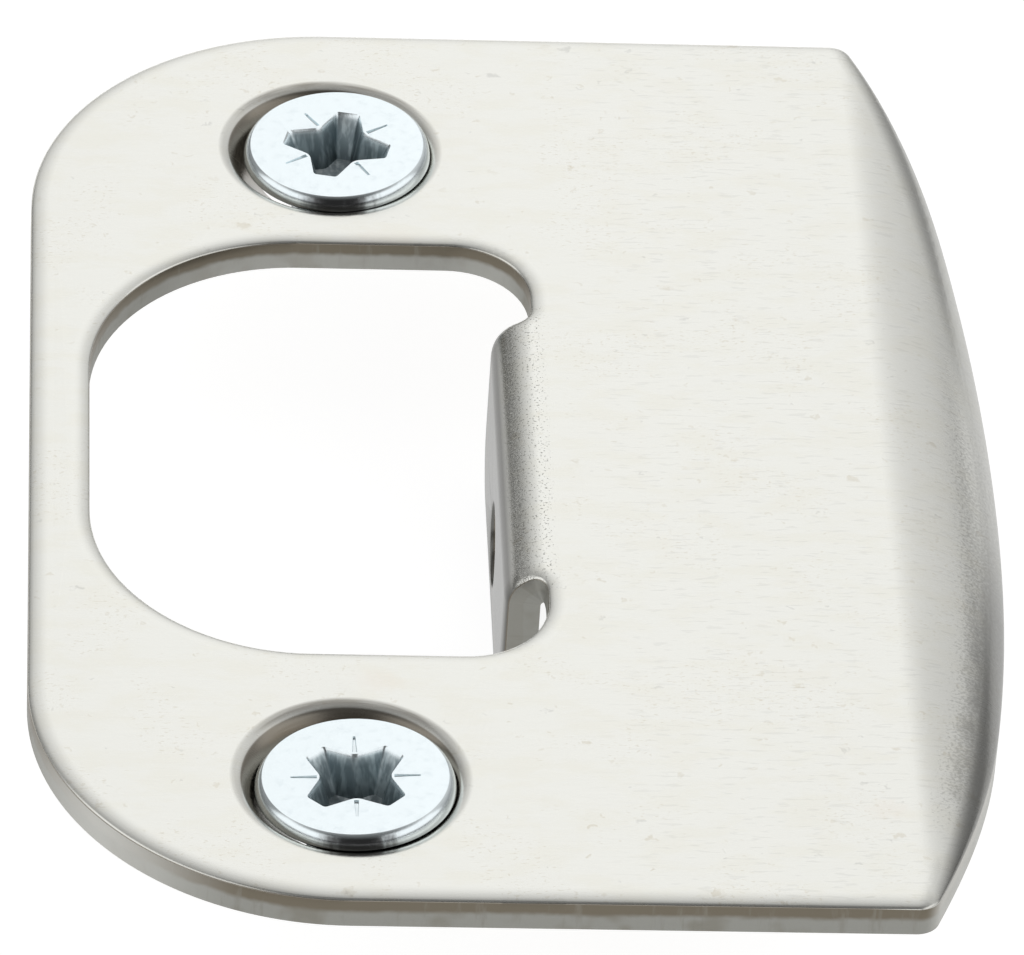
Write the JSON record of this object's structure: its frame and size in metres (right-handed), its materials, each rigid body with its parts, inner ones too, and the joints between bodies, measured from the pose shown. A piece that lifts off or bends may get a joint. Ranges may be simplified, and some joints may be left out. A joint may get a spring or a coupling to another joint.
{
  "type": "door strike plate",
  "caption": "Full-lip door strike plate stamped from plated sheet steel, with a round-cornered latch opening, a tab bent down beside it, and cross-recess countersunk screws.",
  "frame": {"origin": "on the back of the plate, on the line through the two screw holes, half way along the plate", "axes": "+Z out of the face that is seen on the door frame, +X across the plate towards the lip, +Y along the door's edge"},
  "size_m": [0.0407, 0.0572, 0.009],
  "materials": {
    "plated_sheet": "satin nickel plating, finely grained and cracked where the sheet is bent",
    "plated_screw": "bright bluish zinc plating"
  },
  "bodies": {
    "root": {"strike_plate": "plated_sheet", "upper_screw": "plated_screw", "lower_screw": "plated_screw"}
  },
  "joints": []
}
